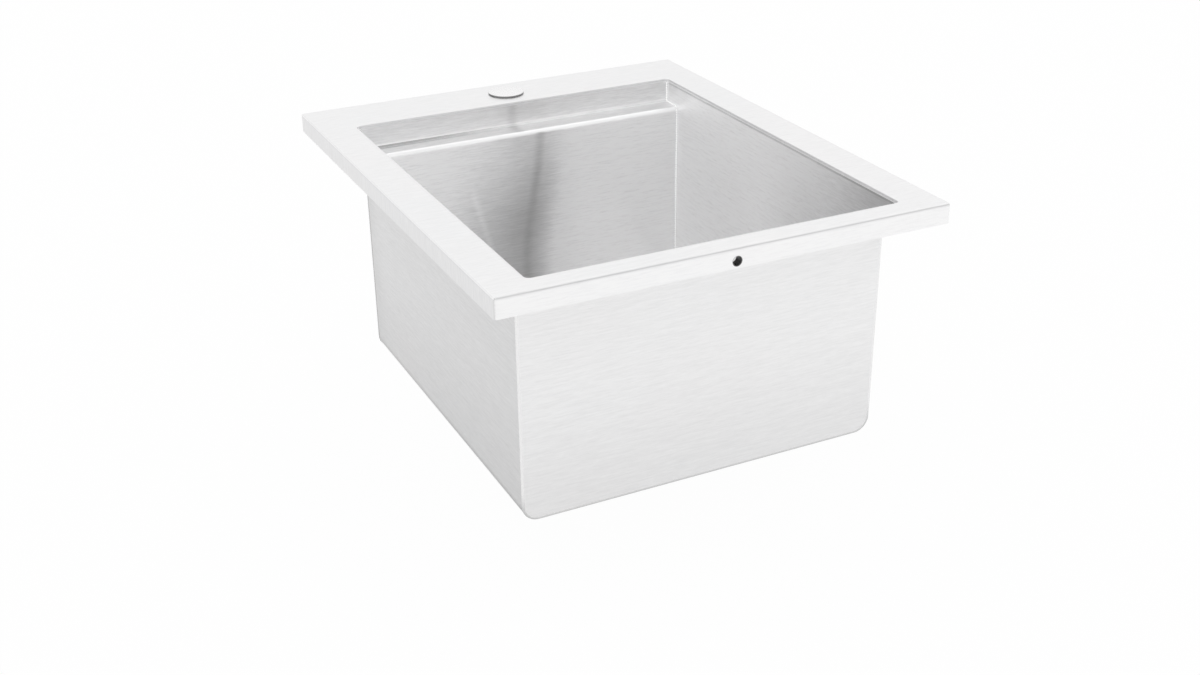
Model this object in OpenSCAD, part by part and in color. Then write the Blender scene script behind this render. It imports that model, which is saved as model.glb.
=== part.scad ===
// Outdoor drop-in sink: a sheet-steel deck with a welded bowl, a blanked tap hole and a basket strainer.
// Millimetres. X runs to the right, Y to the back and Z up.
// The origin is the centre of the deck's outline, in the plane of the counter that the deck stands on.

/* [Deck] */
// Width of the deck, left to right
deck_w = 457; // [420:1:610]
// Depth of the deck, front to back
deck_d = 546; // [480:1:640]
// Height of the apron that is turned down all round
apron_h = 20; // [16:1:32]
// Flange on each side of the bowl
side_flange = 40; // [34:1:56]
// Flange in front of the bowl
front_flange = 25; // [22:1:50]
// Flange behind the bowl, where the tap hole is
rear_flange = 71; // [60:1:100]
// Sheet thickness of the deck
deck_t = 1.2; // [0.8:0.1:1.6]
// Outside radius of the bend along the deck's edges
deck_bend_r = 2.5; // [2:0.1:2.9]
// Outside radius of the deck's upright corners
deck_corner_r = 3; // [3:0.5:8]
// Width of the lip that turns in under the apron and stands on the counter
lip_w = 10; // [6:1:14]
// Radius of the opening's corners, seen from above
opening_corner_r = 5; // [3:0.5:14]
// Outside radius of the bend from the deck down into the bowl
opening_bend_r = 2.2; // [1.8:0.1:3]
// Height of the collar that the deck turns down at the opening
collar_h = 4; // [3.5:0.5:8]

/* [Bowl] */
// Depth of the bowl, from the deck's top to the floor's underside
bowl_depth = 254; // [180:1:300]
// Sheet thickness of the bowl
bowl_t = 1.2; // [0.8:0.1:1.6]
// Inside radius of the bends between the floor and the side walls
floor_bend_r = 15; // [8:1:30]
// How far the ledges lie below the deck's top
ledge_drop = 28; // [18:1:60]
// Width of the ledges at the front and the back
ledge_w = 25; // [14:1:36]
// Inside radius of the bend at the foot of the wall above a ledge
ledge_bend_r = 2.4; // [1.5:0.1:4]
// Outside radius of a ledge's nose
ledge_nose_r = 5; // [3:0.5:8]
// Fall of the creased floor from its edges to the drain
floor_fall = 3; // [1:0.5:6]
// Flat border of the floor outside its creased field
floor_border = 8; // [4:1:20]
// Width of the weld beads along the panels' edges
bead_w = 1.8; // [1:0.1:3]
// Height of the weld beads
bead_h = 0.7; // [0.3:0.1:1.2]

/* [Tap hole] */
// Diameter of the tap hole
tap_hole_d = 35; // [28:1:40]
// How far the cap reaches past the hole, all round
cap_overlap = 2.5; // [2:0.5:6]
// Height of the cap's turned-down rim
cap_rim_h = 1.6; // [1.4:0.1:3]
// Rise of the cap's dome above its rim
cap_rise = 1.4; // [0.8:0.1:3]
// Sheet thickness of the cap
cap_t = 0.9; // [0.6:0.1:1.2]
// Thickness of the rubber ring under the cap
cap_gasket_t = 0.7; // [0.4:0.1:1.2]
// Diameter of the stud below the cap
stud_d = 8; // [6:1:10]
// Reach of the stud below the deck
stud_l = 34; // [28:1:50]
// How far the clamping washer reaches past the hole, all round
washer_overlap = 6.5; // [4:0.5:9]
// Thickness of the clamping washer
washer_t = 2; // [1.5:0.5:4]
// Height of the wing nut's hub
wing_hub_h = 8; // [6:1:12]
// Span across the wings
wing_span = 32; // [26:1:40]
// Height of the wings
wing_h = 13; // [11:1:18]

/* [Drain] */
// Diameter of the hole in the floor
drain_hole_d = 89; // [80:1:92]
// Depth of the pressed seat round the hole
recess_h = 2.8; // [1.5:0.1:5]
// How far the strainer's flange reaches past the hole, all round
flange_overlap = 12; // [8:1:16]
// Thickness of the strainer's flange
flange_t = 1.6; // [1.2:0.1:2.4]
// Thickness of the seal under the flange
flange_seal_t = 0.8; // [0.5:0.1:1.5]
// Clearance between the strainer's thread and the hole
drain_clear = 1.5; // [0.8:0.1:3]
// Wall of the strainer's cup
cup_wall = 2.4; // [2:0.1:4]
// Depth of the shelf that carries the basket, below the flange's top
shelf_drop = 4; // [3:0.5:7]
// Width of that shelf
shelf_w = 1.4; // [1:0.1:2]
// Depth of the basket below the shelf
basket_depth = 20; // [16:1:28]
// Travel of the stopper from shut to open
stopper_travel = 8; // [5:1:10]
// Diameter of the throat below the stopper
throat_d = 52; // [46:1:56]
// Inside diameter of the outlet
outlet_d = 38; // [32:1:40]
// Diameter of the outlet's outside thread
outlet_thread_d = 47.5; // [46:0.5:50]
// Length of the outlet's outside thread
outlet_l = 14; // [10:1:24]
// Pitch of the strainer's body thread
body_pitch = 2.2; // [1.5:0.1:3]
// Thickness of the rubber gasket under the floor
sink_gasket_t = 3; // [2:0.5:5]
// Width of the gasket and of the friction ring
ring_w = 10.5; // [8:0.5:13]
// Thickness of the friction ring under the gasket
friction_t = 1.2; // [0.8:0.1:2]
// Height of the lock nut
lock_nut_h = 9; // [7:1:11]
// Width of the lock nut's ring
lock_nut_w = 7; // [5:0.5:10]
// Length of the lock nut's lugs
lug_l = 6; // [4:0.5:9]
// Width of the lock nut's lugs
lug_w = 12; // [8:1:16]
// Sheet thickness of the basket
basket_t = 0.8; // [0.6:0.1:1.2]
// Taper of the basket's wall, at one side
basket_taper = 4; // [2:0.5:7]
// Diameter of the holes in the basket's floor
perforation_d = 3; // [2:0.5:4]
// Width of the slots in the basket's wall
slot_w = 2.4; // [1.5:0.1:3.5]
// Number of slots in the basket's wall
slot_n = 24; // [12:1:30]
// Diameter of the stopper's post
post_d = 8; // [6:1:9]
// Diameter of the stopper's knob
knob_d = 19; // [16:1:24]
// Height of the stopper's knob
knob_h = 7; // [5:0.5:10]
// Thickness of the stopper's rubber
rubber_t = 4; // [3:0.5:6]
// How far the stopper's rubber reaches past the throat, all round
rubber_overlap = 5; // [3:0.5:6]

/* [Fixings] */
// Clearance between the accessory insert and the lip below it
accessory_clear = 0.4; // [0.2:0.1:3]
// Inside diameter of the accessory insert
accessory_d = 8.5; // [6:0.5:9]
// Length of the accessory insert
accessory_l = 8; // [6:1:14]
// Width of a clip rail
rail_w = 12; // [10:1:14]
// Height of a clip rail
rail_h = 7; // [5:0.5:9]
// Width of a clip rail's slot
rail_slot = 5; // [3:0.5:6]
// Length of the clip rails beside the bowl
side_rail_l = 300; // [120:5:360]
// Length of each clip rail behind the bowl
rear_rail_l = 110; // [60:5:120]

/* [Hidden] */

// Finish of the exact curves
$fn = 96;
// Overlap of solids that are cut or joined
over = 1;
// Running clearance of a nut or bush on its post, at the radius
run_gap = 0.05;
// Gap between a piece and the seat it rests on
seat_gap = 0.2;
// Clearance of a washer or ring round the thread it is slipped over, at the radius
slip_gap = 0.3;
// Gap between the basket's wall and the strainer's cup, and between the rubber and its seat
basket_gap = 0.4;
rubber_gap = 0.3;

// The opening in the deck and the space inside the bowl
deck_top = apron_h;
open_w = deck_w - 2 * side_flange;
open_d = deck_d - front_flange - rear_flange;
open_y = (front_flange - rear_flange) / 2;
open_front = open_y - open_d / 2;
open_back = open_y + open_d / 2;
wall_top = deck_top - collar_h;
floor_z = deck_top - bowl_depth + bowl_t;

// The creased field of the floor
field_x = open_w / 2 - floor_bend_r;
field_y = open_d / 2 - ledge_w - floor_border;

// The pressed seat round the drain hole
thread_r = drain_hole_d / 2 - drain_clear;
flange_r = drain_hole_d / 2 + flange_overlap;
recess_clear = 1.5;
recess_r = flange_r + recess_clear;
recess_draft = 0.5;
seat_z = floor_z - floor_fall - recess_h;
crease_r = recess_r + bowl_t + recess_draft * (recess_h + bowl_t);
crease_z = floor_z - floor_fall * (1 - crease_r / norm([field_x, field_y]));

// The strainer's levels, measured from the seat's top
flange_top = flange_seal_t + flange_t;
shelf_z = flange_top - shelf_drop;
basket_floor_z = shelf_z - basket_depth;
plate_t = 1;
rubber_top = basket_floor_z - basket_t - stopper_travel - plate_t - 2 * seat_gap;
throat_r = throat_d / 2;
shoulder_rise = 4.5;
throat_top = rubber_top - rubber_t;
retainer_t = 1.5;
retainer_hub_h = 4;
bar_w = 3;
throat_h = retainer_t + retainer_hub_h + bar_w + over;
neck_top = throat_top - throat_h;
throat_wall = 2;
outlet_end = neck_top - throat_wall - outlet_l;
cup_r = thread_r - cup_wall;
shelf_r = cup_r - shelf_w;
shelf_round = 1.5;
shoulder_top = throat_top + shoulder_rise;

// The basket and the stopper, measured from the seat's top
basket_rim_r = cup_r - basket_gap;
basket_rim_t = 1;
basket_top_r = shelf_r - basket_gap;
basket_foot_r = basket_top_r - basket_taper;
bush_r = post_d / 2 + 2;
bush_flange_r = bush_r + 2.5;
bush_h = 6;
knob_clear = 1.5;
knob_z = basket_floor_z + bush_h + knob_clear;
post_bottom = rubber_top - rubber_t - retainer_t - retainer_hub_h;

// The nut and rings under the floor, measured from the seat's top
gasket_top = -bowl_t;
friction_top = gasket_top - sink_gasket_t;
lock_nut_top = friction_top - friction_t;

// The tap hole
tap_y = open_back + rear_flange / 2;
cap_r = tap_hole_d / 2 + cap_overlap;
cap_top = deck_top + seat_gap + cap_rim_h + cap_rise;
dome_r = (cap_r * cap_r + cap_rise * cap_rise) / (2 * cap_rise);
stud_r = stud_d / 2;
washer_top = deck_top - deck_t;

// Accessory hole and clip rails
insert_wall = 1.2;
accessory_z = deck_t + accessory_clear + insert_wall + accessory_d / 2;
insert_reveal = 0.4;
accessory_hole_r = accessory_d / 2 + insert_reveal;
rail_t = 1.2;
rail_gap = 4;
rail_x = open_w / 2 + bowl_t + rail_gap + rail_w / 2;
rail_y = open_back + bowl_t + rail_gap + rail_w / 2;
washer_room = 10;
rear_rail_x = tap_hole_d / 2 + washer_overlap + washer_room + rear_rail_l / 2;

// Colours
satin = [0.80, 0.81, 0.82];
bright = [0.88, 0.89, 0.90];
weld = [0.90, 0.90, 0.91];
brass = [0.78, 0.66, 0.38];
black = [0.10, 0.10, 0.11];
fibre = [0.62, 0.46, 0.34];

// Extrusions of an upright outline: along_x takes a Y-Z outline and along_y an X-Z outline
module along_x(l) {
    rotate([90, 0, 90]) linear_extrude(height = l, center = true) children();
}

module along_y(l) {
    rotate([90, 0, 0]) linear_extrude(height = l, center = true) children();
}

// Rectangle with round corners
module round_rect(w, d, r) {
    square([w - 2 * r, d], center = true);
    square([w, d - 2 * r], center = true);
    for (x = [-1, 1])
        for (y = [-1, 1])
            translate([x * (w / 2 - r), y * (d / 2 - r)])
                circle(r);
}

// Upright section of a block whose two top corners are rounded
module dome_section(w, z0, z1, r) {
    translate([-w / 2, z0]) square([w, z1 - z0 - r]);
    translate([-w / 2 + r, z0]) square([w - 2 * r, z1 - z0]);
    for (x = [-1, 1])
        translate([x * (w / 2 - r), z1 - r])
            circle(r);
}

// Block with round upright corners rc and a rounding r along its top edges
module bent_block(w, d, rc, z0, z1, r) {
    along_y(d - 2 * rc) dome_section(w, z0, z1, r);
    along_x(w - 2 * rc) dome_section(d, z0, z1, r);
    for (x = [-1, 1])
        for (y = [-1, 1])
            translate([x * (w / 2 - rc), y * (d / 2 - rc), 0])
                rotate_extrude()
                    intersection() {
                        dome_section(2 * rc, z0, z1, r);
                        translate([0, z0]) square([rc, z1 - z0]);
                    }
}

// Upright section of an opening that flares outwards by r at its top
module flare_section(w, z0, z1, r) {
    translate([-w / 2, z0]) square([w, z1 - z0]);
    for (x = [0, 1])
        mirror([x, 0])
            translate([w / 2, z1 - r])
                difference() {
                    square(r);
                    translate([r, 0]) circle(r);
                }
}

// Opening with round upright corners rc that flares outwards by r at its top edges
module bent_opening(w, d, rc, z0, z1, r) {
    along_y(d - 2 * rc) flare_section(w, z0, z1, r);
    along_x(w - 2 * rc) flare_section(d, z0, z1, r);
    for (x = [-1, 1])
        for (y = [-1, 1])
            translate([x * (w / 2 - rc), y * (d / 2 - rc), 0])
                rotate_extrude()
                    intersection() {
                        flare_section(2 * rc, z0, z1, r);
                        translate([0, z0]) square([rc + r, z1 - z0]);
                    }
}

// Deck: one sheet with its apron and lip bent down outside, and a collar bent down into the bowl
module deck() {
    color(satin)
    difference() {
        union() {
            difference() {
                bent_block(deck_w, deck_d, deck_corner_r, 0, deck_top, deck_bend_r);
                bent_block(deck_w - 2 * deck_t, deck_d - 2 * deck_t, deck_corner_r - deck_t,
                    deck_t, deck_top - deck_t, deck_bend_r - deck_t);
                translate([0, 0, -over])
                    linear_extrude(height = deck_t + 2 * over)
                        round_rect(deck_w - 2 * lip_w, deck_d - 2 * lip_w, opening_corner_r);
            }
            translate([0, open_y, 0])
                bent_opening(open_w + 2 * deck_t, open_d + 2 * deck_t, opening_corner_r + deck_t,
                    wall_top, deck_top - deck_t, opening_bend_r - deck_t);
        }
        translate([0, open_y, 0])
            bent_opening(open_w, open_d, opening_corner_r, wall_top - over, deck_top, opening_bend_r);
        translate([0, tap_y, deck_top - deck_t - over])
            cylinder(r = tap_hole_d / 2, h = deck_t + 2 * over);
        translate([0, -deck_d / 2 - over, accessory_z])
            rotate([-90, 0, 0])
                cylinder(r = accessory_hole_r, h = deck_t + 2 * over);
    }
}

// Region behind a panel's bowl-side face, moved outwards by s.
// The first axis runs into the bowl from the opening's edge, the second up from the deck's top.
module behind(s) {
    reach = 40;
    deep = bowl_depth + over;
    nose = ledge_nose_r - s;
    bend = ledge_bend_r + s;
    translate([-reach, -deep]) square([reach - s, deep]);
    translate([-reach, -deep]) square([reach + ledge_w - s, deep - ledge_drop - s - nose]);
    translate([-reach, -deep]) square([reach + ledge_w - s - nose, deep - ledge_drop - s]);
    translate([ledge_w - s - nose, -ledge_drop - s - nose]) circle(nose);
    translate([-s, -ledge_drop - s])
        difference() {
            square(bend);
            translate([bend, bend]) circle(bend);
        }
}

// Places an outline that is drawn from the opening's edge at the bowl's front or back
module at_front() {
    translate([open_front, deck_top]) children();
}

module at_back() {
    translate([open_back, deck_top]) mirror([1, 0]) children();
}

// Upright section across the bowl, moved outwards by s, with the floor's bends
module cross_section(s) {
    w = open_w + 2 * s;
    r = floor_bend_r + s;
    z0 = floor_z - s;
    translate([-w / 2, z0 + r]) square([w, wall_top - z0 - r]);
    translate([-w / 2 + r, z0]) square([w - 2 * r, wall_top - z0]);
    for (x = [-1, 1])
        translate([x * (w / 2 - r), z0 + r])
            circle(r);
}

// Upright section along the bowl, moved outwards by s, with both ledges
module side_outline(s) {
    difference() {
        translate([open_front - s, floor_z - s]) square([open_d + 2 * s, wall_top - floor_z + s]);
        at_front() behind(s);
        at_back() behind(s);
    }
}

// Upright section of the creased field, from a level above its edges down to the crossing of the creases
module crease_section(half, top) {
    polygon([[-half, top], [half, top], [half, 0], [0, -floor_fall], [-half, 0]]);
}

// Creased dish of the floor with the drain's pressed seat, moved down by s and reaching up to two levels
module floor_dish(s, field_top, seat_top) {
    foot_r = recess_r + s;
    seat_h = seat_top - seat_z + s;
    translate([0, open_y, floor_z - s])
        intersection() {
            along_y(2 * field_y) crease_section(field_x, field_top - floor_z + s);
            along_x(2 * field_x) crease_section(field_y, field_top - floor_z + s);
        }
    translate([0, open_y, seat_z - s])
        cylinder(r1 = foot_r, r2 = foot_r + recess_draft * seat_h, h = seat_h);
}

// Bowl wrap: one sheet bent into both side walls and the creased floor.
// The dish's outer solids end within the sheet's thickness, so that they blend into it.
module bowl_wrap() {
    color(satin)
    difference() {
        union() {
            intersection() {
                along_y(2 * deck_d) cross_section(bowl_t);
                along_x(2 * deck_w) side_outline(bowl_t);
            }
            floor_dish(bowl_t, floor_z - bowl_t / 2, crease_z - bowl_t / 8);
        }
        along_y(2 * deck_d) cross_section(0);
        floor_dish(0, floor_z + over, floor_z + over);
        translate([0, open_y, seat_z - bowl_t - over])
            cylinder(r = drain_hole_d / 2, h = bowl_t + 2 * over);
    }
}

// End panel between the side walls, with its ledge bent in
module panel_sheet() {
    intersection() {
        along_x(open_w)
            intersection() {
                difference() {
                    children(0);
                    children(1);
                }
                translate([-deck_d, floor_z]) square([2 * deck_d, wall_top - floor_z]);
            }
        along_y(2 * deck_d) cross_section(0);
    }
}

module front_panel() {
    color(satin)
    panel_sheet() {
        at_front() behind(0);
        at_front() behind(bowl_t);
    }
}

module rear_panel() {
    color(satin)
    panel_sheet() {
        at_back() behind(0);
        at_back() behind(bowl_t);
    }
}

// Weld beads: one along the edge of each panel, up both side walls and round the ledge
module bead() {
    intersection() {
        along_x(open_w)
            difference() {
                children(0);
                children(1);
            }
        along_y(2 * deck_d)
            difference() {
                cross_section(0);
                cross_section(-bead_w);
            }
    }
}

module panel_welds() {
    color(weld) {
        bead() {
            at_front() behind(-bead_h);
            at_front() behind(0);
        }
        bead() {
            at_back() behind(-bead_h);
            at_back() behind(0);
        }
    }
}

// Threaded insert behind the hole in the front apron
module accessory_insert() {
    color(bright)
    translate([0, -deck_d / 2 + deck_t, accessory_z])
        rotate([-90, 0, 0])
            difference() {
                cylinder(r = accessory_d / 2 + insert_wall, h = accessory_l);
                translate([0, 0, -over]) cylinder(r = accessory_d / 2, h = accessory_l + 2 * over);
            }
}

// Clip rail: a channel with a slot below, welded under the deck
module rail_section() {
    translate([0, deck_top - deck_t - rail_h])
        difference() {
            translate([-rail_w / 2, 0]) square([rail_w, rail_h]);
            translate([-rail_w / 2 + rail_t, rail_t]) square([rail_w - 2 * rail_t, rail_h - 2 * rail_t]);
            translate([-rail_slot / 2, -over]) square([rail_slot, rail_t + 2 * over]);
        }
}

module left_clip_rail() {
    color(satin)
    translate([-rail_x, open_y, 0]) along_y(side_rail_l) rail_section();
}

module right_clip_rail() {
    color(satin)
    translate([rail_x, open_y, 0]) along_y(side_rail_l) rail_section();
}

module rear_clip_rails() {
    color(satin)
    for (x = [-1, 1])
        translate([x * rear_rail_x, rail_y, 0])
            along_x(rear_rail_l) rail_section();
}

// Outside of the cap drawn in by s, cut off below z0
module cap_solid(s, z0) {
    cap_h = cap_rim_h + cap_rise;
    rotate_extrude()
        intersection() {
            translate([0, cap_h - dome_r]) circle(dome_r - s);
            translate([0, z0]) square([cap_r - s, cap_h - z0]);
        }
}

// Cap over the tap hole: a shallow pressed dome with a short rim
module hole_cap() {
    color(bright)
    translate([0, tap_y, deck_top + seat_gap])
        difference() {
            cap_solid(0, 0);
            cap_solid(cap_t, -over);
        }
}

module cap_gasket() {
    lap = 2;
    color(black)
    translate([0, tap_y, deck_top])
        difference() {
            cylinder(r = cap_r - cap_t - seat_gap, h = cap_gasket_t);
            translate([0, 0, -over]) cylinder(r = tap_hole_d / 2 - lap, h = cap_gasket_t + 2 * over);
        }
}

// Stud welded under the cap by its head, whose edge meets the dome
module cap_stud() {
    head_r = stud_d;
    head_t = 1;
    head_top = cap_top - cap_t - head_r * head_r / (2 * (dome_r - cap_t)) - run_gap;
    color(bright)
    translate([0, tap_y, 0]) {
        translate([0, 0, head_top - head_t]) cylinder(r = head_r, h = head_t);
        translate([0, 0, deck_top - stud_l])
            cylinder(r = stud_r, h = head_top - head_t / 2 - deck_top + stud_l);
    }
}

module cap_washer() {
    rim = tap_hole_d / 2 + washer_overlap;
    color(satin)
    translate([0, tap_y, washer_top - washer_t])
        difference() {
            union() {
                translate([0, 0, washer_t / 2]) cylinder(r = rim, h = washer_t / 2);
                cylinder(r1 = rim - washer_t, r2 = rim, h = washer_t / 2);
            }
            translate([0, 0, -over]) cylinder(r = stud_r + slip_gap, h = washer_t + 2 * over);
        }
}

// Wing nut, flat side up against the washer
module wing_nut() {
    hub_r = stud_r + 3.5;
    hub_taper = 1.2;
    wing_t = 2.4;
    end_r = wing_h * 0.32;
    root_x = stud_r + 1.5;
    root_z = -2;
    top = washer_top - washer_t;
    color(brass)
    translate([0, tap_y, top])
        difference() {
            union() {
                translate([0, 0, -wing_hub_h]) cylinder(r1 = hub_r - hub_taper, r2 = hub_r, h = wing_hub_h);
                for (a = [0, 180])
                    rotate([0, 0, a])
                        along_y(wing_t) {
                            translate([wing_span / 2 - end_r, -wing_h + end_r]) circle(end_r);
                            polygon([[root_x, root_z], [root_x, -wing_hub_h + 1],
                                [wing_span / 2 - end_r, -wing_h],
                                [wing_span / 2, -wing_h + end_r], [hub_r, root_z]]);
                        }
            }
            translate([0, 0, -wing_h - over]) cylinder(r = stud_r + run_gap, h = wing_h + 2 * over);
        }
}

// Ridges of a thread up the outside of a revolved profile, drawn as plain rings
function ridges(r, root, z0, pitch, n) =
    [for (i = [0:n - 1]) each [[root, z0 + (i + 0.5) * pitch], [r, z0 + (i + 1) * pitch]]];

// Strainer body: flange, threaded cup with a shelf for the basket, throat and outlet
module strainer_body() {
    neck_r = outlet_thread_d / 2;
    root_r = thread_r - 0.35 * body_pitch;
    edge_t = 0.4 * flange_t;
    bevel_w = 2.5;
    thread_foot = shoulder_top - throat_wall;
    thread_n = floor((lock_nut_top + sink_gasket_t - thread_foot) / body_pitch);
    inside = [
        [flange_r, flange_seal_t], [flange_r, flange_seal_t + edge_t],
        [flange_r - bevel_w, flange_top], [cup_r + shelf_round, flange_top],
        [cup_r, flange_top - shelf_round], [cup_r, shelf_z], [shelf_r, shelf_z],
        [shelf_r, shoulder_top], [throat_r, throat_top], [throat_r, neck_top],
        [outlet_d / 2, neck_top], [outlet_d / 2, outlet_end]
    ];
    outside = [
        [neck_r, outlet_end], [neck_r, neck_top - throat_wall],
        [throat_r + throat_wall, neck_top - throat_wall], [throat_r + throat_wall, throat_top - throat_wall],
        [shelf_r, thread_foot], [root_r, thread_foot]
    ];
    color(bright)
    translate([0, open_y, seat_z]) {
        rotate_extrude()
            polygon(concat(inside, outside, ridges(thread_r, root_r, thread_foot, body_pitch, thread_n),
                [[thread_r, flange_seal_t]]));
        for (a = [0, 90])
            rotate([0, 0, a])
                translate([-throat_r - throat_wall / 2, -bar_w / 2, neck_top])
                    cube([throat_d + throat_wall, bar_w, bar_w]);
    }
}

// Plain ring of a revolved rectangle, hung from a level below the seat
module seat_ring(r0, r1, top, h) {
    translate([0, open_y, seat_z + top - h])
        difference() {
            cylinder(r = r1, h = h);
            translate([0, 0, -over]) cylinder(r = r0, h = h + 2 * over);
        }
}

module flange_seal() {
    inset = 1.5;
    color(black) seat_ring(drain_hole_d / 2 + inset, flange_r - inset, flange_seal_t, flange_seal_t);
}

module sink_gasket() {
    color(black) seat_ring(thread_r + slip_gap, thread_r + slip_gap + ring_w, gasket_top, sink_gasket_t);
}

module friction_ring() {
    color(fibre) seat_ring(thread_r + slip_gap, thread_r + ring_w, friction_top, friction_t);
}

// Lock nut: a ring with lugs for a spanner
module lock_nut() {
    lug_n = 6;
    lug_root = 2;
    color(satin)
    translate([0, open_y, seat_z + lock_nut_top - lock_nut_h])
        difference() {
            union() {
                cylinder(r = thread_r + lock_nut_w, h = lock_nut_h);
                for (i = [0:lug_n - 1])
                    rotate([0, 0, i * 360 / lug_n])
                        translate([thread_r + lug_root, -lug_w / 2, 0])
                            cube([lock_nut_w - lug_root + lug_l, lug_w, lock_nut_h * 0.6]);
            }
            translate([0, 0, -over]) cylinder(r = thread_r + run_gap, h = lock_nut_h + 2 * over);
        }
}

// Basket: a tapered cup with a rolled rim, slots in its wall and rings of holes in its floor
function ring_holes(r) = floor(2 * PI * r / (2.4 * perforation_d));

module basket_cup() {
    slot_foot = 3.5;
    slot_head = 5.5;
    slot_reach = 4;
    rim_z = shelf_z + seat_gap / 2;
    wall_r = basket_top_r - basket_t;
    color(bright)
    translate([0, open_y, seat_z])
        difference() {
            rotate_extrude()
                polygon([[bush_r, basket_floor_z - basket_t], [basket_foot_r, basket_floor_z - basket_t],
                    [basket_top_r, shelf_z], [basket_top_r, rim_z], [basket_rim_r, rim_z],
                    [basket_rim_r, rim_z + basket_rim_t], [wall_r, rim_z + basket_rim_t], [wall_r, shelf_z],
                    [basket_foot_r - basket_t, basket_floor_z], [bush_r, basket_floor_z]]);
            for (i = [0:slot_n - 1])
                rotate([0, 0, i * 360 / slot_n])
                    translate([basket_foot_r - slot_reach, -slot_w / 2, basket_floor_z + slot_foot])
                        cube([basket_taper + 2 * slot_reach, slot_w, basket_depth - slot_foot - slot_head]);
            for (r = [0.42, 0.62, 0.82] * basket_foot_r)
                for (i = [0:ring_holes(r) - 1])
                    rotate([0, 0, i * 360 / ring_holes(r)])
                        translate([r, 0, basket_floor_z - basket_t - over])
                            cylinder(r = perforation_d / 2, h = basket_t + 2 * over);
        }
}

// Bush in the middle of the basket's floor, in which the post slides
module basket_bush() {
    color(bright)
    translate([0, open_y, seat_z + basket_floor_z])
        difference() {
            union() {
                translate([0, 0, -basket_t]) cylinder(r = bush_r, h = basket_t + bush_h);
                cylinder(r = bush_flange_r, h = 1);
            }
            translate([0, 0, -basket_t - over])
                cylinder(r = post_d / 2 + run_gap, h = basket_t + bush_h + 2 * over);
        }
}

// Stopper: a post with a knob above the basket's floor, and a plate, a rubber and a retainer below it
module stopper_post() {
    color(bright)
    translate([0, open_y, seat_z + post_bottom])
        cylinder(r = post_d / 2, h = knob_z + knob_h / 2 - post_bottom);
}

module stopper_knob() {
    neck_r = post_d / 2 + 1.5;
    rim_r = knob_d / 2;
    color(bright)
    translate([0, open_y, seat_z + knob_z])
        difference() {
            rotate_extrude()
                polygon([[0, 0], [neck_r, 0], [neck_r, knob_h * 0.35],
                    [rim_r - 1.2, knob_h * 0.5], [rim_r, knob_h * 0.65],
                    [rim_r - 1, knob_h * 0.88], [rim_r - 4, knob_h], [0, knob_h]]);
            translate([0, 0, -over]) cylinder(r = post_d / 2, h = knob_h / 2 + over);
        }
}

module stopper_ring(r, top, h) {
    translate([0, open_y, seat_z + top - h])
        difference() {
            cylinder(r = r, h = h);
            translate([0, 0, -over]) cylinder(r = post_d / 2, h = h + 2 * over);
        }
}

module stopper_plate() {
    color(bright) stopper_ring(throat_r - 1, rubber_top + plate_t, plate_t);
}

// Rubber disc whose lower side slopes like the seat in the strainer's cup
module stopper_rubber() {
    edge_r = throat_r + rubber_overlap;
    edge_round = 0.4;
    foot = throat_top + rubber_gap;
    slope = shoulder_rise / (shelf_r - throat_r);
    color(black)
    translate([0, open_y, seat_z])
        rotate_extrude()
            polygon([[post_d / 2, foot], [throat_r, foot], [edge_r, foot + slope * rubber_overlap],
                [edge_r, rubber_top - edge_round], [edge_r - edge_round, rubber_top],
                [post_d / 2, rubber_top]]);
}

module stopper_retainer() {
    top = throat_top + rubber_gap;
    hub_r = post_d / 2 + 3;
    color(bright) {
        stopper_ring(throat_r - 6, top, retainer_t);
        stopper_ring(hub_r, top - retainer_t, retainer_hub_h - rubber_gap);
    }
}

deck();
bowl_wrap();
front_panel();
rear_panel();
panel_welds();
accessory_insert();
left_clip_rail();
right_clip_rail();
rear_clip_rails();
hole_cap();
cap_gasket();
cap_stud();
cap_washer();
wing_nut();
strainer_body();
flange_seal();
sink_gasket();
friction_ring();
lock_nut();
basket_cup();
basket_bush();
stopper_post();
stopper_knob();
stopper_plate();
stopper_rubber();
stopper_retainer();
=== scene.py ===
import math
import bpy
from mathutils import Matrix, Vector


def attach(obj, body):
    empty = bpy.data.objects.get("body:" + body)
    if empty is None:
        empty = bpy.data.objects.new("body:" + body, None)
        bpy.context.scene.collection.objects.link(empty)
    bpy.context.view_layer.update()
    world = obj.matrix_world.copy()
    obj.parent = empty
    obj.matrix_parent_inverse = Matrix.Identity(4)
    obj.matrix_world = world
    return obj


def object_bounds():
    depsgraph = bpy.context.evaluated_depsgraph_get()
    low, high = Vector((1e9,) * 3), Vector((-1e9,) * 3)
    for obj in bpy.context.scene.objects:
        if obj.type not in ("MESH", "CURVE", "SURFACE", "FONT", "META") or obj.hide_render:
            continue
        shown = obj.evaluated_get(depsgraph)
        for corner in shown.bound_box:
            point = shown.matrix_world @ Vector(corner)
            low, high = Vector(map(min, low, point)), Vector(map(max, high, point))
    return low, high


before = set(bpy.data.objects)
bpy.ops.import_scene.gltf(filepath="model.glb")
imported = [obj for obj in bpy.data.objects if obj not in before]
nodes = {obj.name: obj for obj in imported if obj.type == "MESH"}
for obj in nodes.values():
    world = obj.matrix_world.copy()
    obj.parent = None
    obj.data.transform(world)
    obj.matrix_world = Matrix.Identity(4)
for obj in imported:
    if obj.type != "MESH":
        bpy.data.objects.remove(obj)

cadLow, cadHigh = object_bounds()
mm = 0.001
print("frame loaded:", len(nodes), "pieces")


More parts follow.
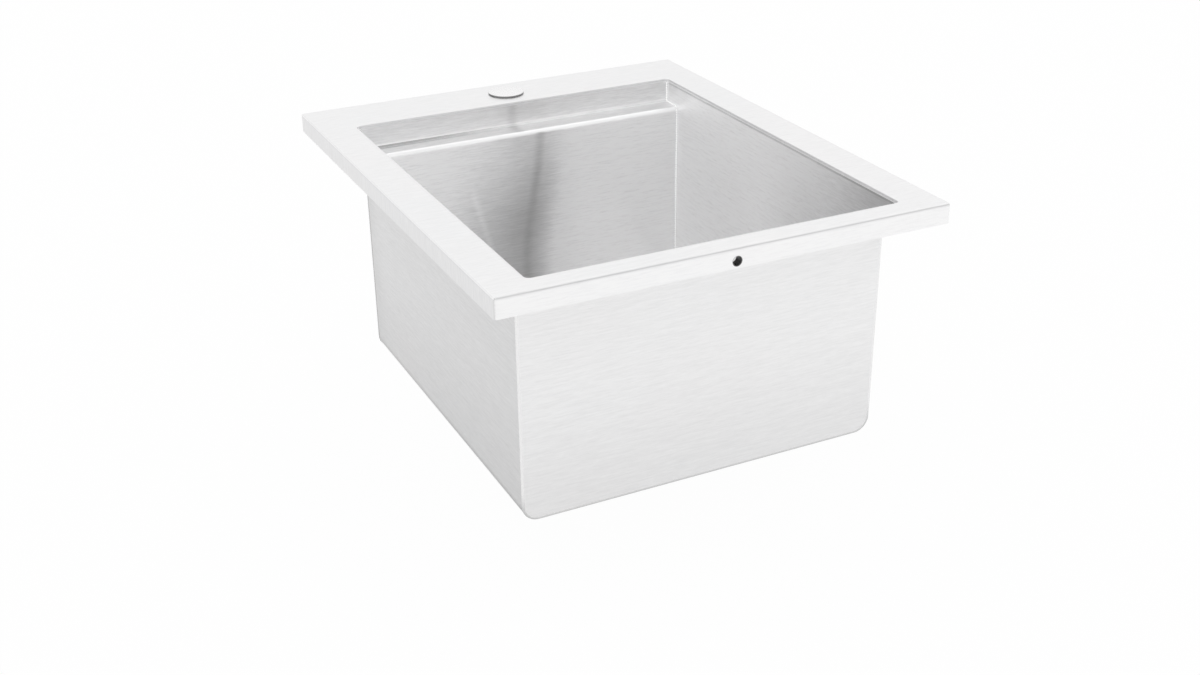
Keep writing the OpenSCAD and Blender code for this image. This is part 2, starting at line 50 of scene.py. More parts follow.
# One output socket, so that shader sums read as sums
class Wire:
    def __init__(self, bench, socket):
        self.bench = bench
        self.socket = socket

    def __add__(self, other): return self.bench.math("ADD", self, other)
    def __radd__(self, other): return self.bench.math("ADD", other, self)
    def __sub__(self, other): return self.bench.math("SUBTRACT", self, other)
    def __rsub__(self, other): return self.bench.math("SUBTRACT", other, self)
    def __mul__(self, other): return self.bench.math("MULTIPLY", self, other)
    def __rmul__(self, other): return self.bench.math("MULTIPLY", other, self)
    def __truediv__(self, other): return self.bench.math("DIVIDE", self, other)
    def __rtruediv__(self, other): return self.bench.math("DIVIDE", other, self)
    def __gt__(self, other): return self.bench.math("GREATER_THAN", self, other)
    def __lt__(self, other): return self.bench.math("LESS_THAN", self, other)


# A node tree with one way to add any node: its type, its settings, then its sockets
class Bench:
    def __init__(self, tree):
        self.tree = tree
        tree.nodes.clear()

    def add(self, kind, settings=None, sockets=None, out=0):
        node = self.tree.nodes.new(kind)
        for name, value in (settings or {}).items():
            setattr(node, name, value)
        for name, value in (sockets or {}).items():
            if isinstance(value, Wire):
                self.tree.links.new(value.socket, node.inputs[name])
            else:
                node.inputs[name].default_value = value
        return Wire(self, node.outputs[out]) if len(node.outputs) else node

    def out(self, wire, name):
        return Wire(self, wire.socket.node.outputs[name])

    def axes(self, vector):
        split = self.add("ShaderNodeSeparateXYZ", {}, {0: vector})
        return [self.out(split, axis) for axis in "XYZ"]

    def math(self, operation, *values):
        return self.add("ShaderNodeMath", {"operation": operation}, dict(enumerate(values)))

    # A smooth change between two bounds
    def ramp(self, value, low, high, start=0.0, end=1.0):
        return self.add("ShaderNodeMapRange", {"interpolation_type": "SMOOTHSTEP"},
                        {0: value, 1: low, 2: high, 3: start, 4: end})

    # The same between two places in millimetres
    def fade(self, value, places, start=0.0, end=1.0):
        return self.ramp(value, places[0] * mm, places[1] * mm, start, end)

    # 1 where a value lies between two places in millimetres
    def between(self, value, low, high):
        return (value > low * mm) * (value < high * mm)

    # 1 on a line, 0 where it is as far off as the line is wide
    def lineAt(self, offset, wide):
        return self.fade(self.math("ABSOLUTE", offset), (wide, 0.0))

    # Levels at even steps of a value from 0 to 1
    def levels(self, value, stops):
        wire = self.add("ShaderNodeValToRGB", {}, {0: value})
        ramp = wire.socket.node.color_ramp
        top = max(stops)
        for i, level in enumerate(stops):
            stop = ramp.elements[i] if i < 2 else ramp.elements.new(i / len(stops))
            stop.position, stop.color = i / (len(stops) - 1), (level / top,) * 3 + (1,)
        ramp.interpolation = "EASE"
        return self.out(wire, "Color") * top

    def stretched(self, vector, factors):
        return self.add("ShaderNodeVectorMath", {"operation": "MULTIPLY"}, {0: vector, 1: factors})

    def scaled(self, vector, factor):
        return self.add("ShaderNodeVectorMath", {"operation": "SCALE"}, {0: vector, "Scale": factor})

    def blendValue(self, share, a, b):
        return self.add("ShaderNodeMix", {"data_type": "FLOAT"}, {0: share, 2: a, 3: b})

    def blendColour(self, share, a, b):
        return self.add("ShaderNodeMix", {"data_type": "RGBA"}, {0: share, 6: a, 7: b}, 2)

    def noise(self, at, detail=2.0, rough=0.5):
        return self.add("ShaderNodeTexNoise", {},
                        {"Vector": at, "Scale": 1.0, "Detail": detail, "Roughness": rough})

    # How squarely a face looks along an axis, from 0 to 1
    def facing(self, axis):
        normal = self.add("ShaderNodeTexCoord", out="Normal")
        return self.math("ABSOLUTE", self.axes(normal)["XYZ".index(axis)])


def newMaterial(name):
    material = bpy.data.materials.new(name)
    material.use_nodes = True
    return material, Bench(material.node_tree)


def finishMaterial(bench, shader):
    bench.add("ShaderNodeOutputMaterial", {}, {"Surface": shader})


# Brush lines, in waves to a metre: fine across the stroke, long along it; a slow cloud lies over them
brush = {"long": {"coarse": 48.0, "fine": 144.0}, "across": {"coarse": 640.0, "fine": 2100.0},
         "detail": 3.0, "octaves": 0.6, "cloud": (7.0, 7.0, 9.0), "cloudRough": 0.04,
         "coarseHeight": 0.6, "fineHeight": 0.4, "depth": 0.00003,
         "sideways": (0.6, 0.8), "level": (0.2, 0.5), "turn": 0.25}


def grain(bench, at, along, size):
    stretch = tuple(brush["long" if axis in along else "across"][size] for axis in "xyz")
    return bench.noise(bench.stretched(at, stretch), brush["detail"], brush["octaves"])


# The bowl's inner faces in millimetres: half width, middle, half depth below and above the ledges
inner = {"half": 188.9, "middle": -23.0, "wall": 200.5, "above": 225.5, "ledge": -8.6}


# 1 on the faces that the water touches, 0 on the outside of the same sheet
def insideBowl(bench, x, y, z):
    deep = bench.math("ABSOLUTE", y - inner["middle"] * mm)
    reach = bench.blendValue(z > inner["ledge"] * mm, inner["wall"] * mm, inner["above"] * mm)
    return (bench.math("ABSOLUTE", x) < inner["half"] * mm) * (deep < reach)


# Steel brushed along the axes named, or round a centre; marks are painted shade and painted light fixed to places on
# the sink
def brushedSteel(name, look):
    material, bench = newMaterial(name)
    place = bench.add("ShaderNodeTexCoord", out="Object")
    x, y, z = bench.axes(place)
    at, along = place, look["along"]
    if along == "ring":
        first, second, axis = (x, z, y) if look.get("axis") == "y" else (x, y, z)
        first, second = first - look["centre"][0] * mm, second - look["centre"][1] * mm
        reach = bench.math("SQRT", first * first + second * second)
        at = bench.add("ShaderNodeCombineXYZ", {}, {0: reach, 1: axis, 2: 0.0})
        along = ""
    coarse, fine = (grain(bench, at, along, size) for size in ("coarse", "fine"))
    if "sideAlong" in look:
        side = bench.ramp(bench.facing("X"), *brush["sideways"])
        coarse = bench.blendValue(side, coarse, grain(bench, at, look["sideAlong"], "coarse"))
        fine = bench.blendValue(side, fine, grain(bench, at, look["sideAlong"], "fine"))
    cloud = bench.noise(bench.stretched(place, brush["cloud"]))
    streak = (coarse - 0.5) * look["coarse"] + (fine - 0.5) * look["fine"]
    if "inside" in look:
        streak = streak * (1.0 + insideBowl(bench, x, y, z) * look["inside"])
    shade = 1.0 + streak + (cloud - 0.5) * look["cloud"]
    for mark in look.get("marks", []):
        shade = shade * mark(bench, x, y, z)
    rough = look["rough"] + (coarse - 0.5) * look["roughSpread"] + (cloud - 0.5) * brush["cloudRough"]
    if "edgeRough" in look:
        rough = rough + side * look["edgeRough"]
    height = coarse * brush["coarseHeight"] + fine * brush["fineHeight"]
    surface = {
        "Base Color": bench.scaled(bench.blendColour(cloud, look["cool"], look["warm"]), shade),
        "Metallic": 1.0, "Roughness": rough,
        "Normal": bench.add("ShaderNodeBump", {}, {
            "Strength": look["bump"], "Distance": brush["depth"], "Height": height})}
    shader = bench.add("ShaderNodeBsdfPrincipled", {}, surface)
    if look["anisotropic"]:
        surface.update({"Anisotropic": look["anisotropic"], "Anisotropic Rotation": brush["turn"]})
        wall = bench.add("ShaderNodeBsdfPrincipled", {}, surface)
        level = bench.ramp(bench.facing("Z"), *brush["level"])
        shader = bench.add("ShaderNodeMixShader", {}, {0: level, 1: wall, 2: shader})
    finishMaterial(bench, shader)
    return material


# The marks, painted shade and light: places in millimetres, and how much darker they are. The bowl's top edge gets
# painted shade along the collar
collarShadeLook = {"from": (13.4, 14.4), "dark": 0.28}


def collarShade(bench, x, y, z):
    return 1.0 - bench.fade(z, collarShadeLook["from"]) * collarShadeLook["dark"]


# Painted shade outside the bowl: it darkens toward its floor, and the walls and panels are painted darker at levels
# of their own
outsideShadeLook = {"low": (-90.0, -240.0), "lowDark": 0.075, "wall": 0.79, "panel": 0.955}


def outsideLowShade(bench, z):
    return 1.0 - bench.fade(z, outsideShadeLook["low"]) * outsideShadeLook["lowDark"]


# Painted shade on the side walls: along their foot and faintly at the rear outside, and inside toward the front and
# at the floor
wallShadeLook = {"front": (-95.0, -238.0), "frontDark": 0.38, "frontFrom": 170.0, "floor": -231.0, "floorDark": 0.05,
            "foot": (-215.0, -226.0), "footFrom": (173.0, 181.0), "footDark": 0.46,
            "rear": (135.0, 178.0), "rearDark": 0.06}


def wallShade(bench, x, y, z):
    look = wallShadeLook
    wide = bench.math("ABSOLUTE", x)
    front = bench.fade(y, look["front"]) * look["frontDark"]
    inside = 1.0 - front * (wide > look["frontFrom"] * mm) - (z < look["floor"] * mm) * look["floorDark"]
    foot = bench.fade(z, look["foot"]) * bench.fade(wide, look["footFrom"])
    outside = outsideLowShade(bench, z) * outsideShadeLook["wall"] * (1.0 - foot * look["footDark"])
    outside = outside * (1.0 - bench.fade(y, look["rear"]) * look["rearDark"])
    return bench.blendValue(insideBowl(bench, x, y, z), outside, inside)


# Painted shade on the panels' outside, darker toward the floor
def panelShade(bench, x, y, z):
    return bench.blendValue(insideBowl(bench, x, y, z), outsideLowShade(bench, z) * outsideShadeLook["panel"], 1.0)


# Painted light and shade on the deck: its top is painted darker than its apron, which is painted brightest in front.
# A painted dark reflection line runs along the front and rear bends, a painted highlight along the side bends; the
# corners get a little painted shade, the hole's edge painted shade
deckLook = {"top": 0.85, "topFrom": (18.5, 16.5), "front": 1.035, "side": 0.92, "sideFrom": 227.5,
            "bend": 18.7, "bendWide": 0.9, "line": 0.19, "sideLine": -0.17,
            "hole": 7.05, "holeReach": 5.1, "holeFace": -270.0, "holeDark": 0.62,
            "corner": (226.8, 271.3), "cornerTop": 19.4, "cornerDark": 0.09}


def deckPaintedLight(bench, x, y, z):
    look = deckLook
    wide, deep = bench.math("ABSOLUTE", x), bench.math("ABSOLUTE", y)
    side = wide > look["sideFrom"] * mm
    apron = bench.blendValue(side, look["front"], look["side"])
    shade = bench.blendValue(bench.fade(z, look["topFrom"]), look["top"], apron)
    line = bench.lineAt(z - look["bend"] * mm, look["bendWide"])
    line = line * bench.blendValue(side, look["line"], look["sideLine"])
    height, reach = z - look["hole"] * mm, look["holeReach"] * mm
    hole = (x * x + height * height < reach * reach) * (y < look["holeFace"] * mm)
    corner = (wide > look["corner"][0] * mm) * (deep > look["corner"][1] * mm) * (z < look["cornerTop"] * mm)
    return shade - line - hole * look["holeDark"] - corner * look["cornerDark"]


# Painted shade: the strip above the rear ledge is painted in shade and the ledge less so; a painted shadow line where
# they meet fades to the right
ledgeLook = {"strip": 0.14, "stripFoot": -4.3, "top": 0.10, "topFrom": -8.7, "topRear": 180.0,
             "root": (-7.7, -5.9), "rootDark": (0.55, 0.16), "run": (-130.0, 30.0), "back": 199.6}


def aboveLedge(bench, x, y, z):
    look = ledgeLook
    root = bench.between(z, *look["root"]) * (y > look["back"] * mm) * bench.fade(x, look["run"], *look["rootDark"])
    ledge = bench.between(z, look["topFrom"], look["root"][0]) * (y > look["topRear"] * mm)
    return 1.0 - (z > look["stripFoot"] * mm) * look["strip"] - root - ledge * look["top"]


# Painted reflection: a soft dark streak down the rear panel, as the bowl's front corner mirrors in it: a broad
# painted shade, its narrow bowed core and a faint slanting painted highlight
streakLook = {"rear": 150.0, "below": -9.0, "left": (-132.0, 2.0), "right": (0.0, 42.0), "depth": (-125.0, -8.0),
              "shallow": 0.30, "dark": 0.48, "bow": (-7.0, 14.0), "bowDepth": (-165.0, -10.0), "above": -8.0,
              "core": 9.0, "coreDepth": (-110.0, -40.0), "coreLow": 0.4, "coreDark": 0.15,
              "glint": -86.5, "glintSlope": 0.26, "glintWide": 7.0, "glintDepth": (-50.0, -85.0), "glintLight": 0.07}


def streakReflection(bench, x, y, z):
    look = streakLook
    inside = (y > look["rear"] * mm) * insideBowl(bench, x, y, z)
    below = z < look["below"] * mm
    bow = bench.fade(z, look["bowDepth"], *(v * mm for v in look["bow"]))
    offset = x - bench.blendValue(below, look["above"] * mm, bow)
    band = bench.fade(offset, look["left"]) * bench.fade(offset, look["right"], 1.0, 0.0)
    band = band * bench.fade(z, look["depth"], 1.0, look["shallow"]) * below
    core = bench.lineAt(offset, look["core"]) * bench.fade(z, look["coreDepth"], look["coreLow"], 1.0)
    glint = bench.lineAt(x - look["glint"] * mm + z * look["glintSlope"], look["glintWide"])
    glint = glint * bench.fade(z, look["glintDepth"])
    return 1.0 - inside * (band * look["dark"] + core * look["coreDark"] - glint * look["glintLight"])


# Painted shade on the outer seams along the floor, and on all of the rear ones
seamShadeLook = {"low": (-200.0, -228.0), "lowDark": 0.30, "rear": 160.0, "rearDark": 0.42}


def seamShade(bench, x, y, z):
    low = bench.fade(z, seamShadeLook["low"]) * seamShadeLook["lowDark"]
    rear = (y > seamShadeLook["rear"] * mm) * (z < 0.0) * seamShadeLook["rearDark"]
    return (1.0 - low) * (1.0 - rear)


# The cap's turned-down rim lies in shade
rimLook = {"from": (21.9, 21.3), "dark": 0.68}


def rimShade(bench, x, y, z):
    return 1.0 - bench.fade(z, rimLook["from"]) * rimLook["dark"]


# Painted shade inside the insert's bore: it is dark
boreLook = {"middle": 7.05, "reach": 4.9, "shade": 0.14}


def boreShade(bench, x, y, z):
    height, reach = z - boreLook["middle"] * mm, boreLook["reach"] * mm
    return boreLook["shade"] + (x * x + height * height > reach * reach) * (1.0 - boreLook["shade"])


def tint(cool, warm):
    return {"cool": (*cool, 1), "warm": (*warm, 1)}


# Steel finishes: what they share, then each one's own
sheet = {"coarse": 0.175, "fine": 0.13, "cloud": 0.02, "rough": 0.30, "roughSpread": 0.03, "bump": 0.15,
         "anisotropic": 1.0}
fixingLook = dict(tint((0.76, 0.77, 0.78), (0.80, 0.79, 0.78)), along="ring", rough=0.30, anisotropic=0.0)
strainerLook = dict(tint((0.79, 0.796, 0.802), (0.815, 0.80, 0.80)), along="ring", centre=(0, -23), rough=0.28,
                    anisotropic=0.0)
# The marks in these lists paint shade, and a little light, into the steels' colour
steelLooks = {
    "deckSteel": dict(tint((0.950, 0.957, 0.963), (0.968, 0.956, 0.958)), along="x", sideAlong="z",
                      anisotropic=0.0, edgeRough=0.26, marks=[deckPaintedLight]),
    "wrapSteel": dict(tint((0.980, 0.985, 0.990), (0.993, 0.984, 0.986)), along="y", coarse=0.245, fine=0.18,
                      inside=0.6, marks=[collarShade, wallShade]),
    "panelSteel": dict(tint((0.988, 0.992, 0.996), (0.999, 0.991, 0.992)), along="x", inside=1.2,
                       marks=[aboveLedge, panelShade, streakReflection]),
    "weldSteel": dict(tint((0.93, 0.935, 0.94), (0.95, 0.945, 0.94)), along="", coarse=0.10, rough=0.24,
                      bump=0.6, anisotropic=0.0, marks=[seamShade]),
    "seamSteel": dict(tint((0.96, 0.965, 0.97), (0.975, 0.97, 0.965)), along="", coarse=0.06, fine=0.05,
                      rough=0.22, bump=0.3, anisotropic=0.0),
    "railSteel": dict(tint((0.74, 0.75, 0.76), (0.78, 0.77, 0.76)), along="y", rough=0.42, coarse=0.14,
                      anisotropic=0.3),
    "capSteel": dict(tint((0.825, 0.83, 0.835), (0.84, 0.83, 0.832)), along="ring", centre=(0, 237.5),
                     rough=0.26, coarse=0.05, anisotropic=0.0, marks=[rimShade]),
    "fixingSteel": dict(fixingLook, centre=(0, 237.5)),
    "insertSteel": dict(fixingLook, axis="y", centre=(0, 7.05), marks=[boreShade]),
    "strainerSteel": strainerLook,
    "basketSteel": dict(strainerLook, rough=0.18, coarse=0.05, fine=0.03),
}
materials = {name: brushedSteel(name, dict(sheet, **look)) for name, look in steelLooks.items()}

# Cast, rubber and fibre surfaces: pits in a mottled colour
pitted = {"pitDetail": 4.0, "pitOctaves": 0.6, "mottle": (40.0, 40.0, 40.0), "blend": (0.3, 0.7),
          "roughSpread": 0.2, "depth": 0.0002}
plainLooks = {
    "castMetal": {"dark": (0.50, 0.50, 0.51, 1), "light": (0.66, 0.66, 0.67, 1), "grit": 1400.0,
                  "rough": 0.5, "bump": 0.5, "metal": 1.0},
    "yellowBrass": {"dark": (0.70, 0.52, 0.22, 1), "light": (0.82, 0.66, 0.34, 1), "grit": 900.0,
                    "rough": 0.34, "bump": 0.3, "metal": 1.0},
    "blackRubber": {"dark": (0.012, 0.012, 0.013, 1), "light": (0.03, 0.03, 0.032, 1), "grit": 1600.0,
                    "rough": 0.62, "bump": 0.4, "metal": 0.0},
    "pressedFibre": {"dark": (0.30, 0.18, 0.10, 1), "light": (0.48, 0.32, 0.20, 1), "grit": 1100.0,
                     "rough": 0.8, "bump": 0.6, "metal": 0.0},
}


def plainMaterial(name, look):
    material, bench = newMaterial(name)
    place = bench.add("ShaderNodeTexCoord", out="Object")
    pits = bench.noise(bench.stretched(place, (look["grit"],) * 3), pitted["pitDetail"], pitted["pitOctaves"])
    cloud = bench.noise(bench.stretched(place, pitted["mottle"]))
    share = bench.ramp(cloud * 0.5 + pits * 0.5, *pitted["blend"])
    bump = bench.add("ShaderNodeBump", {}, {
        "Strength": look["bump"], "Distance": pitted["depth"], "Height": pits})
    finishMaterial(bench, bench.add("ShaderNodeBsdfPrincipled", {}, {
        "Base Color": bench.blendColour(share, look["dark"], look["light"]), "Metallic": look["metal"],
        "Roughness": look["rough"] + (pits - 0.5) * pitted["roughSpread"], "Normal": bump}))
    return material


for name, look in plainLooks.items():
    materials[name] = plainMaterial(name, look)

finishes = {
    "deckSteel": ["deck"], "wrapSteel": ["bowl_wrap"], "panelSteel": ["front_panel", "rear_panel"],
    "weldSteel": ["panel_welds"], "insertSteel": ["accessory_insert"],
    "railSteel": ["left_clip_rail", "right_clip_rail", "rear_clip_rails"],
    "capSteel": ["hole_cap"], "fixingSteel": ["cap_stud", "cap_washer"], "yellowBrass": ["wing_nut"],
    "strainerSteel": ["strainer_body", "stopper_post"],
    "basketSteel": ["basket_cup", "basket_bush", "stopper_knob", "stopper_plate", "stopper_retainer"],
    "blackRubber": ["cap_gasket", "flange_seal", "sink_gasket", "stopper_rubber"],
    "pressedFibre": ["friction_ring"], "castMetal": ["lock_nut"],
}
for finish, pieces in finishes.items():
    for name in pieces:
        for slot in nodes[name].material_slots:
            slot.material = materials[finish]
print("finishes on", sum(len(pieces) for pieces in finishes.values()), "pieces")


# Geometry Nodes: a tree with its named inputs, and a way to read them
def newTree(name, floats, whole):
    tree = bpy.data.node_groups.new(name, "GeometryNodeTree")
    kinds = [("Geometry", "Geometry")] + [(label, "Float") for label in floats]
    kinds += [(label, "Int") for label in whole] + [("Material", "Material")]
    for label, kind in kinds:
        tree.interface.new_socket(name=label, in_out="INPUT", socket_type="NodeSocket" + kind)
    tree.interface.new_socket(name="Geometry", in_out="OUTPUT", socket_type="NodeSocketGeometry")
    bench = Bench(tree)
    given = bench.add("NodeGroupInput")
    return tree, bench, lambda label: bench.out(given, label)


def finishTree(bench, given, geometry):
    real = bench.add("GeometryNodeRealizeInstances", {}, {"Geometry": geometry})
    done = bench.add("GeometryNodeSetMaterial", {}, {"Geometry": real, "Material": given("Material")})
    bench.add("NodeGroupOutput", {}, {"Geometry": done})


# Paths in millimetres, built up by a tree and made a plain mesh that rides on the sink
def runTree(tree, paths, name, values):
    points, edges = [], []
    for path in paths:
        start = len(points)
        points += [Vector(p) * mm for p in path]
        edges += [(start + i, start + i + 1) for i in range(len(path) - 1)]
    mesh = bpy.data.meshes.new(name)
    mesh.from_pydata(points, edges, [])
    piece = bpy.data.objects.new(name, mesh)
    bpy.context.scene.collection.objects.link(piece)
    modifier = piece.modifiers.new("build", "NODES")
    modifier.node_group = tree
    for item in tree.interface.items_tree:
        if item.item_type == "SOCKET" and item.in_out == "INPUT" and item.name in values:
            modifier[item.identifier] = values[item.name]
    bpy.context.view_layer.update()
    depsgraph = bpy.context.evaluated_depsgraph_get()
    piece.data = bpy.data.meshes.new_from_object(piece.evaluated_get(depsgraph))
    piece.modifiers.remove(modifier)
    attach(piece, "sink")
    print(name, len(piece.data.polygons), "faces")


# A bead of weld that follows a path, with ripples by chance and ridges at an even pitch
def beadTree():
    sizes = ["Radius", "Ripple", "Ripple Length", "Ridge", "Pitch", "Step"]
    tree, bench, given = newTree("weldBead", sizes, ["Sides"])
    curve = bench.add("GeometryNodeMeshToCurve", {}, {"Mesh": given("Geometry")})
    curve = bench.add("GeometryNodeResampleCurve", {"mode": "LENGTH"}, {"Curve": curve, "Length": given("Step")})
    place = bench.add("GeometryNodeInputPosition")
    ripples = bench.noise(bench.scaled(place, 1.0 / given("Ripple Length")))
    along = bench.add("GeometryNodeSplineParameter", out="Length") / given("Pitch")
    ridges = bench.math("SINE", along * (2 * math.pi)) * given("Ridge")
    size = given("Radius") * (1.0 + (ripples - 0.5) * given("Ripple") + ridges)
    ring = bench.add("GeometryNodeCurvePrimitiveCircle", {"mode": "RADIUS"}, {
        "Resolution": given("Sides"), "Radius": 1.0})
    curve = bench.add("GeometryNodeSetCurveRadius", {}, {"Curve": curve, "Radius": size})
    tube = bench.add("GeometryNodeCurveToMesh", {}, {
        "Curve": curve, "Profile Curve": ring, "Fill Caps": True, "Scale": size})
    finishTree(bench, given, bench.add("GeometryNodeSetShadeSmooth", {}, {"Geometry": tube}))
    return tree


# A ridge that winds round an axis, set on each point of the mesh
def threadTree():
    tree, bench, given = newTree("screwThread", ["Radius", "Length", "Turns", "Ridge"], ["Steps", "Sides"])
    spiral = bench.add("GeometryNodeCurveSpiral", {}, {
        "Resolution": given("Steps"), "Rotations": given("Turns"), "Start Radius": given("Radius"),
        "End Radius": given("Radius"), "Height": given("Length")})
    ring = bench.add("GeometryNodeCurvePrimitiveCircle", {"mode": "RADIUS"}, {
        "Resolution": given("Sides"), "Radius": given("Ridge")})
    ridge = bench.add("GeometryNodeCurveToMesh", {}, {"Curve": spiral, "Profile Curve": ring, "Fill Caps": True})
    placed = bench.add("GeometryNodeInstanceOnPoints", {}, {"Points": given("Geometry"), "Instance": ridge})
    finishTree(bench, given, placed)
    return tree


# Small flattened drops of weld at even steps along an edge
def tackTree():
    tree, bench, given = newTree("tackWelds", ["Step", "Radius", "Flatness", "Spread"], ["Seed", "Segments", "Rings"])
    curve = bench.add("GeometryNodeMeshToCurve", {}, {"Mesh": given("Geometry")})
    curve = bench.add("GeometryNodeResampleCurve", {"mode": "LENGTH"}, {"Curve": curve, "Length": given("Step")})
    drop = bench.add("GeometryNodeMeshUVSphere", {}, {
        "Segments": given("Segments"), "Rings": given("Rings"), "Radius": given("Radius")})
    drop = bench.add("GeometryNodeSetShadeSmooth", {}, {"Geometry": drop})
    size = bench.add("FunctionNodeRandomValue", {"data_type": "FLOAT"}, {
        2: 1.0 - given("Spread"), 3: 1.0 + given("Spread"), "Seed": given("Seed")}, 1)
    scale = bench.add("ShaderNodeCombineXYZ", {}, {0: size, 1: size, 2: given("Flatness")})
    placed = bench.add("GeometryNodeInstanceOnPoints", {}, {"Points": curve, "Instance": drop, "Scale": scale})
    finishTree(bench, given, placed)
    return tree


# The bowl in millimetres, as it was drawn: half width, the walls, the ledges and the bends
bowl = {"half": 188.5, "middle": -23.0, "wall": 200.0, "above": 225.0, "top": 15.0, "floor": -232.8,
        "floorBend": 15.0, "ledge": -8.0, "ledgeBend": 2.4, "nose": 5.0}


def arc(acrossTo, upTo, radius, fromDeg, toDeg, count=8):
    angles = [math.radians(fromDeg + (toDeg - fromDeg) * i / count) for i in range(count + 1)]
    return [(acrossTo + radius * math.cos(a), upTo + radius * math.sin(a)) for a in angles]


# One run of seam, so deep inside the faces: down one side, over the ledge, along the floor and up again
def seamPath(depth, turn):
    side, bend, nose, foot = bowl["half"] - depth, bowl["ledgeBend"], bowl["nose"], bowl["floorBend"]
    above, wall = bowl["above"], bowl["wall"]
    profile = [(depth - above, bowl["top"])] + arc(bend - above, bowl["ledge"] + bend, bend - depth, 180, 270)
    profile += arc(-wall - nose, bowl["ledge"] - nose, nose + depth, 90, 0)
    corner = arc(foot - bowl["half"], bowl["floor"] + foot, foot - depth, 180, 270)
    left = [(-side, y, z) for y, z in profile] + [(x, depth - wall, z) for x, z in corner]
    path = left + [(-x, y, z) for x, y, z in reversed(left)]
    return [(x, bowl["middle"] + turn * y, z) for x, y, z in path]


# A closed run round the deck's collar, so far outside the bowl's faces
def collarPath(out, height, corner):
    side, deep = bowl["half"] + out - corner, bowl["above"] + out - corner
    path = []
    for sx, sy, start in ((1, 1, 0), (-1, 1, 90), (-1, -1, 180), (1, -1, 270)):
        bend = arc(sx * side, sy * deep, corner, start, start + 90, count=5)
        path += [(x, bowl["middle"] + y, height) for x, y in bend]
    return path + path[:1]


def bothSeams(depth):
    return [seamPath(depth, 1.0), seamPath(depth, -1.0)]


# Small letters: places in millimetres. Capital letters: the trees' own inputs, in metres
outerSeam = {"depth": -0.2, "Radius": 0.00142, "Ripple": 0.10, "Ripple Length": 0.004, "Ridge": 0.0,
             "Pitch": 0.01, "Step": 0.004, "Sides": 10, "Material": materials["weldSteel"]}
innerSeam = {"depth": 0.85, "Radius": 0.00145, "Ripple": 0.10, "Ripple Length": 0.009, "Ridge": 0.28,
             "Pitch": 0.0028, "Step": 0.0005, "Sides": 8, "Material": materials["seamSteel"]}
collar = dict(outerSeam, out=1.2, height=15.6, corner=6.2, Radius=0.0011, Ripple=0.3)
beads = beadTree()
runTree(beads, bothSeams(outerSeam["depth"]), "outer_seams", outerSeam)
runTree(beads, bothSeams(innerSeam["depth"]), "inner_seams", innerSeam)
runTree(beads, [collarPath(collar["out"], collar["height"], collar["corner"])], "collar_seam", collar)

# The small welds along the clip rails' edges, under the deck
tacks = {"side": (193.7, 205.7), "sideRun": (-168.0, 122.0), "rear": (207.2, 219.2), "rearRun": (39.0, 139.0),
         "top": 18.5, "Step": 0.050, "Radius": 0.0021, "Flatness": 0.45, "Spread": 0.2, "Seed": 4,
         "Segments": 10, "Rings": 6, "Material": materials["weldSteel"]}
edges = [[(sign * x, y, tacks["top"]) for y in tacks["sideRun"]] for sign in (-1, 1) for x in tacks["side"]]
edges += [[(sign * x, y, tacks["top"]) for x in tacks["rearRun"]] for sign in (-1, 1) for y in tacks["rear"]]
runTree(tackTree(), edges, "rail_tacks", tacks)

# The thread on the outlet, from its foot up
outlet = {"foot": -299.2, "length": 12.6, "pitch": 2.2, "Radius": 0.0237, "Ridge": 0.0005, "Steps": 40,
          "Sides": 4, "Material": materials["strainerSteel"]}
outlet.update({"Length": outlet["length"] * mm, "Turns": outlet["length"] / outlet["pitch"]})
runTree(threadTree(), [[(0.0, bowl["middle"], outlet["foot"])]], "outlet_thread", outlet)

# Camera, from the fit to the photograph's corners: focal length in pixels of its width, angles in radians
view = {"focal": 1521.62, "width": 1200, "sensor": 36.0, "far": 50, "yaw": -0.4529, "pitch": 0.4564,
        "roll": -0.0112, "place": (-0.63856, -1.31105, 0.53029)}
yaw, pitch, roll = view["yaw"], view["pitch"], view["roll"]
upright = Vector((0, 0, 1))
ahead = Vector((-math.sin(yaw), math.cos(yaw), 0))
right = Vector((math.cos(yaw), math.sin(yaw), 0))
lookAt = math.cos(pitch) * ahead - math.sin(pitch) * upright
lookUp = math.sin(pitch) * ahead + math.cos(pitch) * upright
cameraRight = math.cos(roll) * right + math.sin(roll) * lookUp
cameraUp = -math.sin(roll) * right + math.cos(roll) * lookUp
turn = Matrix((cameraRight, cameraUp, -lookAt)).transposed().to_4x4()
cameraData = bpy.data.cameras.new("camera")
cameraData.sensor_width = view["sensor"]
cameraData.lens = view["focal"] / view["width"] * view["sensor"]
cameraData.clip_end = view["far"]
camera = bpy.data.objects.new("camera", cameraData)
camera.matrix_world = Matrix.Translation(Vector(view["place"])) @ turn
bpy.context.scene.collection.objects.link(camera)
bpy.context.scene.camera = camera

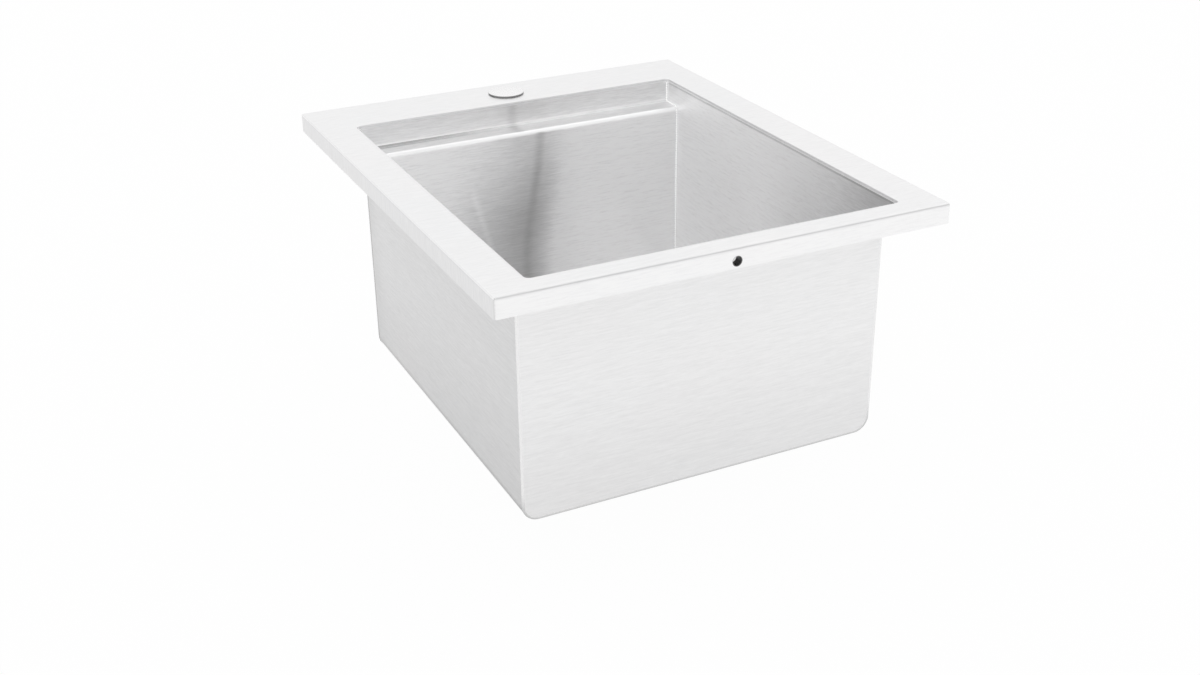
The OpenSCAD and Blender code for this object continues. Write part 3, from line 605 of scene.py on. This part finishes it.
# Studio: a pale floor, its level as the camera sees it and as the steel mirrors it
studio = {"gap": 0.0005, "half": 12.0, "seen": 0.97, "mirrored": 0.56, "paint": 0.8}
half, floorZ = studio["half"], cadLow.z - studio["gap"]
floorMesh = bpy.data.meshes.new("floor")
floorMesh.from_pydata([(sx * half, sy * half, floorZ) for sx, sy in ((-1, -1), (1, -1), (1, 1), (-1, 1))],
                      [], [(0, 1, 2, 3)])
floor = bpy.data.objects.new("floor", floorMesh)
bpy.context.scene.collection.objects.link(floor)
floorPaint, bench = newMaterial("floorPaint")
rays = bench.add("ShaderNodeLightPath")
glow = bench.add("ShaderNodeEmission", {}, {"Color": (1, 1, 1, 1), "Strength": 1.0})
matt = bench.add("ShaderNodeBsdfDiffuse", {}, {"Color": (studio["paint"],) * 3 + (1,)})
mirrored = bench.out(rays, "Is Glossy Ray") + bench.out(rays, "Is Transmission Ray")
share = bench.out(rays, "Is Camera Ray") * studio["seen"] + mirrored * studio["mirrored"]
finishMaterial(bench, bench.add("ShaderNodeMixShader", {}, {0: share, 1: matt, 2: glow}))
floorMesh.materials.append(floorPaint)

# Light of the surroundings by twelfths of a turn, straight behind the sink first and its right next, at the
# first three heights in degrees, with one level at the last
around = {"heights": (8.0, 28.0, 54.0, 85.0), "top": 1.00,
          "low": [1.00, 1.00, 1.05, 1.12, 1.12, 1.10, 1.10, 1.10, 1.10, 1.00, 0.85, 0.85],
          "middle": [1.10, 1.08, 1.12, 1.15, 1.05, 0.90, 1.00, 1.10, 1.15, 1.12, 0.92, 1.04],
          "high": [1.15, 1.18, 1.18, 1.12, 1.00, 0.90, 0.90, 1.12, 1.20, 1.20, 1.20, 1.18]}
world = bpy.data.worlds.new("studioWorld")
world.use_nodes = True
bpy.context.scene.world = world
bench = Bench(world.node_tree)
across, deep, height = bench.axes(bench.add("ShaderNodeTexCoord", out="Generated"))
turned = bench.math("ARCTAN2", 0.0 - across, 0.0 - deep) / (2 * math.pi) + 0.5
raised = bench.math("ARCSINE", height) * (180 / math.pi)
rings = [bench.levels(turned, around[name] + around[name][:1]) for name in ("low", "middle", "high")]
sky = rings[0]
for lower, upper, wire in zip(around["heights"], around["heights"][1:], rings[1:] + [around["top"]]):
    sky = bench.blendValue(bench.add("ShaderNodeMapRange", {}, {0: raised, 1: lower, 2: upper}), sky, wire)
rays = bench.add("ShaderNodeLightPath")
level = bench.blendValue(bench.out(rays, "Is Camera Ray"), sky, 1.0)
light = bench.add("ShaderNodeBackground", {}, {"Color": (1, 1, 1, 1), "Strength": level})
bench.add("ShaderNodeOutputWorld", {}, {"Surface": light})

bpy.context.scene.view_settings.view_transform = "Standard"
bpy.context.scene.cycles.glossy_bounces = 10  # a bright bowl mirrors itself many times
print("studio ready")
